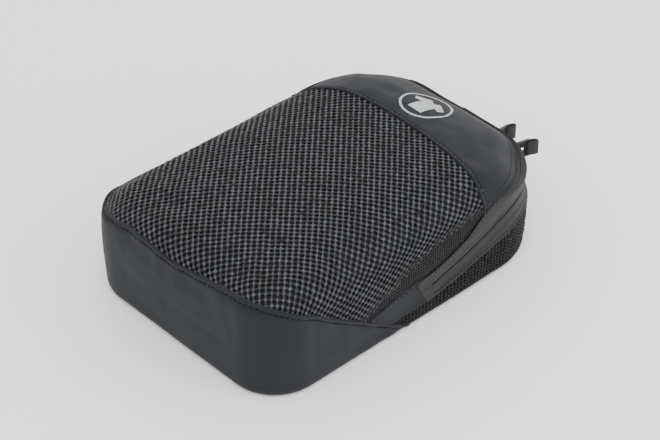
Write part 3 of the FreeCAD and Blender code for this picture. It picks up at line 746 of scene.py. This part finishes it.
def end_panel():
    """Fabric end panel: from its seam across the top, down to the zipper all round the back."""
    columns, rows = 151, 46
    lower = np.linspace(-1, 1, columns)
    start = run_at(END_SEAM_Y)
    reach = RUN_END - start
    run = np.where(lower < 0, -(start + (1 + lower) * reach), start + (1 - lower) * reach)
    a = np.abs(run)
    x, y, nx, ny = outline(run)
    down = drop(upper_edge(a) - 0.6)
    base_x, base_y = x - nx * TOP_R, y - ny * TOP_R
    edge_u, edge_v = base_x + nx * down, base_y + ny * down
    seam_u = np.linspace(edge_u[0], edge_u[-1], columns)
    seam_v = end_seam(seam_u)
    edge = 0.12
    t = np.concatenate([np.linspace(0, edge, 14)[:-1], np.linspace(edge, 1 - edge, rows - 26),
                        np.linspace(1 - edge, 1, 14)[1:]])
    u = seam_u[:, None] * (1 - t) + edge_u[:, None] * t
    v = seam_v[:, None] * (1 - t) + edge_v[:, None] * t
    span = np.hypot(edge_u - seam_u, edge_v - seam_v)[:, None]
    from_seam, from_zip = span * t, span * (1 - t)
    out = PANEL_OUT + hem(from_seam) + 0.6 * hem(from_zip) + pucker(u, from_seam, 17, 0.25)
    points = settle(top_point(u.ravel(), v.ravel(), out.ravel()))
    uv = np.stack([u.ravel(), v.ravel()], -1)
    faces = grid_faces(columns, len(t))
    piece = make_piece("end_panel_cloth", points, faces, uv, FABRIC, thickness=CLOTH)
    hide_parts("end_panel")
    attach(piece, "lid")
    inner = slice(3, -3)
    seam_path = top_path(seam_u[inner], seam_v[inner] + 2.4, PANEL_OUT - 0.2)
    rows_low = []
    for inset in (2.2, 5.0):
        row_u = edge_u[4:-4] - nx[4:-4] * inset
        row_v = edge_v[4:-4] - ny[4:-4] * inset
        rows_low.append(top_path(row_u, row_v, PANEL_OUT - 0.15))
    piece = stitches("end_panel_stitching", [seam_path] + rows_low, THREAD_WITH_PAINTED_SHADOW)
    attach(piece, "lid")


def on_bias(point):
    """The same surface for a mesh whose rows run at 45 degrees to the cube."""
    half = math.sqrt(0.5)
    return lambda a, b, *rest: point((a - b) * half, (a + b) * half, *rest)


def top_mesh():
    """Open mesh top in one piece, from the front panel over the fold to the end panel."""
    def keep(u, v):
        place = top_point(u, v, np.zeros(len(u)))
        a = np.abs(run_of(place[:, 0], place[:, 1]))
        above_front = place[:, 2] > seam_line(a) - 2.5
        above_crease = place[:, 2] > crease_line(a) - 0.5
        return above_front & above_crease & (v < end_seam(u) + 2.5)

    reach = 165
    piece = lattice("top_mesh_knit", on_bias(top_point), (-reach, reach), (-reach, reach),
                    (TOP_PITCH, TOP_PITCH), on_bias(keep), TOP_RELIEF, (0.31, 0.31),
                    TOP_KNIT, 0.3)
    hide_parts("top_mesh", "top_mesh_front")
    fold(piece)


def fold(piece):
    """Bakes a piece's placement into its mesh."""
    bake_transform(piece)


def gusset():
    """Ribbed mesh wall below the zipper, in the knit's shaded copy: darker by painted shade, partly also by
    the lining behind it.
    """
    def keep(run, z):
        a = np.abs(run)
        low = seam_line(a) - 2.0
        high = np.where(a > ZIP_FRONT - 4, lower_edge(a) + 2.0, 10.0)
        return (z > np.where(a < SEAM_END, low, -1)) & (z < high) & (a > run_at(-26))

    piece = lattice("gusset_knit", wall_point, (-RUN_END, RUN_END), (0.0, 30.0), (2.45, 2.0), keep,
                    GUSSET_RELIEF, (0.26, 0.30), SHADED_SIDE_KNIT, 0.32)
    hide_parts("gusset_mesh")
    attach(piece, "pouch")


def side_bands():
    """Fine mesh between the top mesh's crease and the upper tape, one to a side; darker by painted shade,
    partly by the binding behind.
    """
    for side, sign in (("left", -1), ("right", 1)):
        def keep(run, z):
            a = np.abs(run)
            low = np.where(a > ZIP_FRONT, upper_edge(a) - 2.0, seam_line(a) - 2.0)
            in_height = (z > low) & (z < crease_line(a) + 2.6)
            return in_height & (run * sign > run_at(-41)) & (a < run_at(END_SEAM_Y + 3))

        first, last = sorted((sign * run_at(-42), sign * run_at(END_SEAM_Y + 4)))
        piece = lattice(f"side_band_knit_{side}", lambda a, b, out: wall_point(a, b, out + 0.15),
                        (first, last), (12.0, 52.0), (1.65, 1.7), keep, BAND_RELIEF, (0.27, 0.27),
                        SHADED_SIDE_KNIT, 0.25)
        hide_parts(f"side_band_{side}", f"side_band_front_{side}")
        fold(piece)


def end_patches():
    """Plain fabric that closes the zipper's front ends."""
    tip, tail = run_at(-36), run_at(7)
    for side, sign in (("left", -1), ("right", 1)):
        runs = spread(sign * tip, sign * tail, 1.2)
        if sign < 0:
            runs = runs[::-1]

        def low(a):
            return np.maximum(seam_line(a) - 1.0, lower_edge(a) - 0.5)

        def high(a):
            rise = np.interp(a, [tip, run_at(-22), run_at(-6), tail], [20.5, 24.0, 26.5, 26.5])
            return np.maximum(rise, low(a) + 0.3)

        def out(run, z, from_low, from_high):
            return 0.6 + 0.5 * hem(from_high) + 0.5 * hem(from_low) + 0.2 * np.sin(run / 5.0)

        piece = strip(f"end_patch_cloth_{side}", runs, low, high, edge_rows(14), out, FABRIC,
                      CLOTH)
        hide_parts(f"zipper_end_patch_{side}")
        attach(piece, "pouch")
        paths = [wall_path(runs[2:-2], lambda a: high(a) - 2.0, 0.5)]
        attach(stitches(f"end_patch_stitching_{side}", paths, THREAD_WITH_PAINTED_SHADOW), "pouch")


def zipper_tapes():
    """Two smooth woven tapes that meet over the coil, with room for the sliders' plates beside it."""
    runs = spread(ZIP_FRONT, 2 * RUN_END - ZIP_FRONT, 1.5)
    for name, sign, body in (("lower", -1, "pouch"), ("upper", 1, "lid")):
        def near(a):
            return zip_line(a) + sign * TAPE_GAP

        def far(a):
            return upper_edge(a) if sign > 0 else lower_edge(a)

        def out(run, z, from_low, from_high):
            a = np.abs(run)
            from_coil = from_low if sign > 0 else from_high
            from_edge = from_high if sign > 0 else from_low
            channel = smoothstep(run_at(8), run_at(18), a) * (1 - smoothstep(4.4, 6.4, from_coil))
            open_line = 0.25 + 0.75 * smoothstep(run_at(20), run_at(60), a)
            roll = -0.8 * open_line * np.exp(-(from_coil / 0.7) ** 2)
            lip = 0.35 * np.exp(-((from_edge - 0.5) / 0.6) ** 2) - 0.2 * (from_edge < 0.1)
            return 0.95 - 0.7 * channel + roll * (1 - 0.5 * channel) + lip

        def square_end(a, z):
            return 0.47 * (z - zip_line(a)) * (1 - smoothstep(ZIP_FRONT, ZIP_FRONT + 18, a))

        low, high = (near, far) if sign > 0 else (far, near)
        piece = strip(f"zipper_tape_{name}_cloth", runs, low, high, edge_rows(16, 5), out, TAPE,
                      0.5, square_end)
        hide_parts(f"zipper_tape_{name}")
        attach(piece, body)
        path = wall_path(runs[6:-6], lambda a: far(a) - sign * 1.6, 0.85)
        piece = stitches(f"tape_stitching_{name}", [path], THREAD_WITH_PAINTED_SHADOW, spacing=2.4)
        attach(piece, body)


def zipper_coils():
    """The coil's two halves on the inside of the tapes, just clear of the sliders' necks."""
    pitch, steps = 1.5, 10
    for name, sign, body in (("lower", -1, "pouch"), ("upper", 1, "lid")):
        turns = int(2 * (RUN_END - ZIP_FRONT - 2) / pitch)
        phase = np.arange(turns * steps) / steps
        along = phase * pitch
        half = RUN_END - ZIP_FRONT - 2
        run = np.where(along < half, ZIP_FRONT + 2 + along, -(RUN_END - (along - half)))
        angle = 2 * math.pi * phase + (0 if sign > 0 else math.pi)
        z = zip_line(np.abs(run)) + sign * (COIL_MIDDLE + COIL_HALF * np.cos(angle))
        depth = -1.25 + 0.75 * np.sin(angle)
        points = settle(wall_point(run, z, depth))
        curve = bpy.data.curves.new(f"zipper_coil_{name}_wire", "CURVE")
        curve.dimensions = "3D"
        curve.bevel_depth = 0.28 * MM
        curve.bevel_resolution = 1
        spline = curve.splines.new("POLY")
        spline.points.add(len(points) - 1)
        flat = np.concatenate([points * MM, np.ones((len(points), 1))], 1)
        spline.points.foreach_set("co", flat.ravel())
        piece = bpy.data.objects.new(f"zipper_coil_{name}_wire", curve)
        bpy.context.scene.collection.objects.link(piece)
        piece.data.materials.append(COIL)
        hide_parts(f"zipper_coil_{name}")
        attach(piece, body)


def binding_strip(name, node, body, runs, middle, half):
    """Bias binding folded over a seam, on the inside of the wall."""
    def out(run, z, from_low, from_high):
        edge = np.minimum(from_low, from_high)
        return -0.95 - 0.75 * smoothstep(0, 0.9, edge) - 0.12 * np.sin(run * 2.1)

    piece = strip(name, runs, lambda a: middle(a) - half, lambda a: middle(a) + half, edge_rows(7, 3), out,
                  BINDING, -0.5)
    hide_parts(node)
    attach(piece, body)


def bindings():
    """All the bindings that cover the seams inside."""
    whole = spread(-RUN_END, RUN_END, 1.5)
    binding_strip("bottom_binding_cloth", "bottom_binding", "pouch", whole, lambda a: 5.4 + 0 * a, 1.3)
    binding_strip("front_seam_binding_cloth", "front_seam_binding", "pouch",
                  spread(-run_at(-28), run_at(-28), 1.5), lambda a: seam_line(a) - 0.5, 1.5)
    around = spread(ZIP_FRONT + 3, 2 * RUN_END - ZIP_FRONT - 3, 1.5)
    binding_strip("gusset_binding_cloth", "gusset_binding", "pouch", around, lower_edge, 1.5)
    binding_strip("lid_seam_binding_cloth", "lid_seam_binding", "lid", around, upper_edge, 1.5)
    u = spread(-(HALF_W - TOP_R + drop(53)), HALF_W - TOP_R + drop(53), 1.5)
    t = np.linspace(-1.5, 1.5, 7)
    grid_u, grid_t = np.meshgrid(u, t, indexing="ij")
    out = -0.95 - 0.75 * smoothstep(0, 0.9, 1.5 - np.abs(grid_t))
    v = end_seam(grid_u) + 1.5 + grid_t
    points = settle(top_point(grid_u.ravel(), v.ravel(), out.ravel()))
    piece = make_piece("end_seam_binding_cloth", points, grid_faces(len(u), len(t)),
                       np.stack([grid_u.ravel(), v.ravel()], -1), BINDING, thickness=-0.5)
    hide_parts("end_seam_binding")
    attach(piece, "lid")


def bottom_panel():
    """Fabric floor with a soft swell, turned up a little at its sewn edge."""
    runs = spread(-RUN_END, RUN_END, 2.5)[:-1]
    x, y, nx, ny = outline(runs)
    rings = np.linspace(0, 1, 26)
    grid = []
    inset = BASE_R - 0.3
    for t in rings:
        px, py = (x - nx * inset) * (1 - t), (y - ny * inset) * (1 - t)
        swell = 0.35 * np.sin(px / 17) * np.sin(py / 23) * smoothstep(0, 0.3, t)
        rise = 0.55 + 0.5 * (1 - smoothstep(0, 0.06, t)) + swell
        grid.append(np.stack([px, py, rise], -1))
    points = np.stack(grid, 1).reshape(-1, 3)
    faces = grid_faces(len(runs), len(rings), closed=True)
    piece = make_piece("bottom_panel_cloth", points, [face[::-1] for face in faces], points[:, :2],
                       FABRIC)
    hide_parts("bottom_panel")
    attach(piece, "pouch")

    def out(run, z, from_low, from_high):
        return 0.7 + 0.35 * hem(from_high)

    around = spread(SEAM_END - 8, 2 * RUN_END - SEAM_END + 8, 1.5)
    foot_hem = strip("foot_hem_cloth", around, lambda a: 0.25 + 0 * a, lambda a: 3.6 + 0 * a,
                     edge_rows(6, 3), out, FABRIC, CLOTH)
    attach(foot_hem, "pouch")


def printed_mark():
    """Generic printed mark that follows the end panel: a plain shirt inside a thin ring."""
    low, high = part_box("printed_mark")
    cx, cy = (low[0] + high[0]) / 2 / MM, (low[1] + high[1]) / 2 / MM
    radius = (high[0] - low[0]) / 2 / MM
    step = 0.35
    axis = np.arange(-radius - 1, radius + 1, step)
    gx, gy = np.meshgrid(axis, axis, indexing="ij")

    def inside(x, y):
        """Positive inside the ink: a ring and a shirt with sleeves."""
        r = np.hypot(x, y)
        ring = (r < radius) & (r > radius - 1.3)
        size = 2 * radius
        ax = np.abs(x) / size
        t = y / size
        trunk = (ax < 0.17) & (t > -0.30) & (t < 0.26)
        sleeve_top = 0.27 - 0.62 * np.maximum(ax - 0.12, 0)
        sleeve = (ax < 0.36) & (t < sleeve_top) & (t > sleeve_top - 0.17 + 0.25 * np.maximum(ax - 0.2, 0))
        sleeve &= (ax * 0.85 - t * 0.53) < 0.245
        neck = np.hypot(ax, (t - 0.27) * 1.2) < 0.075
        return ring | ((trunk | sleeve) & ~neck)

    kept = inside(gx, gy)
    index = -np.ones((len(axis) + 1, len(axis) + 1), int)
    points, faces = [], []
    for i, j in zip(*np.nonzero(kept)):
        corner = []
        for di, dj in ((0, 0), (1, 0), (1, 1), (0, 1)):
            if index[i + di, j + dj] < 0:
                index[i + di, j + dj] = len(points)
                points.append((axis[0] + (i + di - 0.5) * step, axis[0] + (j + dj - 0.5) * step))
            corner.append(index[i + di, j + dj])
        faces.append(tuple(corner))
    flat = np.array(points)
    x, y = flat[:, 0] + cx, flat[:, 1] + cy
    surface = settle(top_point(x, y, np.full(len(x), PANEL_OUT + 0.24)))
    piece = make_piece("printed_mark_ink", surface, faces, flat, INK)
    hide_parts("printed_mark")
    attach(piece, "lid")


def pull_ribbons():
    """Ribbon folded through each puller's slot, curled a little, with its ends sewn together."""
    for side in ("left", "right"):
        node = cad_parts[f"pull_ribbon_{side}"]
        verts = np.array([v.co for v in node.data.vertices]) / MM
        centre = verts.mean(0)
        slider = np.array([v.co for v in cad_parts[f"slider_pull_{side}"].data.vertices]) / MM
        way = centre - slider.mean(0)
        way[2] = 0
        way /= np.linalg.norm(way)
        across = np.array([way[1], -way[0], 0])
        reach = (verts @ way)
        start, end = reach.min(), reach.max()
        middle = centre @ across
        half = (verts[:, 2].max() - verts[:, 2].min()) / 2
        z0 = centre[2]
        path = []
        for t in np.linspace(0, 1, 14):
            apart = 0.95 - 0.45 * smoothstep(0.55, 0, t) - 0.35 * smoothstep(0.2, 0.0, t)
            path.append((end - t * (end - start - 0.9), apart))
        for angle in np.linspace(math.pi / 2, -math.pi / 2, 7)[1:-1]:
            path.append((start + 0.9 - 0.9 * math.cos(angle), 0.95 * math.sin(angle)))
        path += [(a, -b) for a, b in reversed(path[:14])]
        widths = np.linspace(-1, 1, 9)
        points, uv = [], []
        length = 0
        for k, (a, b) in enumerate(path):
            if k:
                length += math.hypot(a - path[k - 1][0], b - path[k - 1][1])
            droop = -0.022 * (a - start) ** 2
            curl = 0.35 * math.sin((a - start) / 4)
            for w in widths:
                place = way * a + across * (middle + b + curl + 0.15 * w * w)
                points.append((place[0], place[1], z0 + droop + w * half * (1 - 0.04 * (1 - abs(w)))))
                uv.append((length, w * half))
        piece = make_piece(f"pull_ribbon_cloth_{side}", points, grid_faces(len(path), len(widths)), uv,
                           RIBBON, thickness=0.5)
        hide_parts(f"pull_ribbon_{side}")
        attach(piece, f"pull_{side}")


def metal_parts():
    """Sliders, pullers and end stops keep their shape, with rounded edges and a painted finish."""
    for name in ("slider_body_left", "slider_body_right", "slider_pull_left", "slider_pull_right",
                 "zipper_stop_left", "zipper_stop_right"):
        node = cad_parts[name]
        node.data.materials.clear()
        node.data.materials.append(METAL)
        bevel = node.modifiers.new("rounded", "BEVEL")
        bevel.width = 0.28 * MM
        bevel.segments = 3
        bevel.limit_method = "ANGLE"


# ================================================================ studio
def studio():
    """Pale floor, soft lights, and the camera where the photograph was taken from."""
    bpy.ops.mesh.primitive_plane_add(size=6, location=(0, 0, 0))
    floor = bpy.context.object
    floor.name = "floor"
    material = bpy.data.materials.new("floor")
    material.use_nodes = True
    material.node_tree.nodes["Principled BSDF"].inputs["Base Color"].default_value = (0.95, 0.95, 0.95, 1)
    material.node_tree.nodes["Principled BSDF"].inputs["Roughness"].default_value = 0.9
    floor.data.materials.append(material)

    world = bpy.data.worlds.new("studio")
    bpy.context.scene.world = world
    world.use_nodes = True
    world.node_tree.nodes["Background"].inputs["Color"].default_value = (1, 1, 1, 1)
    world.node_tree.nodes["Background"].inputs["Strength"].default_value = 1.7

    centre = Vector((0, 0, HEIGHT * MM / 2))
    lights = (
        ("key", (0.5, -0.4, 1.3), 0.9, 7),
        ("side", (1.1, 0.6, 0.6), 0.8, 7),
        ("rear", (-0.9, 0.7, 0.9), 1.0, 3),
    )
    for name, place, size, power in lights:
        data = bpy.data.lights.new(name, "AREA")
        data.size = size
        data.energy = power
        lamp = bpy.data.objects.new(name, data)
        lamp.location = place
        lamp.rotation_euler = (centre - Vector(place)).to_track_quat("-Z", "Y").to_euler()
        bpy.context.scene.collection.objects.link(lamp)

    data = bpy.data.cameras.new("camera")
    data.lens = 118
    camera = bpy.data.objects.new("camera", data)
    camera.location = (0.646, -0.601, 0.701)
    aim = Vector((0.004, 0.0, 0.026))
    camera.rotation_euler = (aim - camera.location).to_track_quat("-Z", "Y").to_euler()
    bpy.context.scene.collection.objects.link(camera)
    bpy.context.scene.camera = camera


cage_tree, cage_shift = shift_lookup(*inflate())

studio()
front_panel()
end_panel()
top_mesh()
gusset()
side_bands()
end_patches()
zipper_tapes()
zipper_coils()
bindings()
bottom_panel()
printed_mark()
pull_ribbons()
metal_parts()
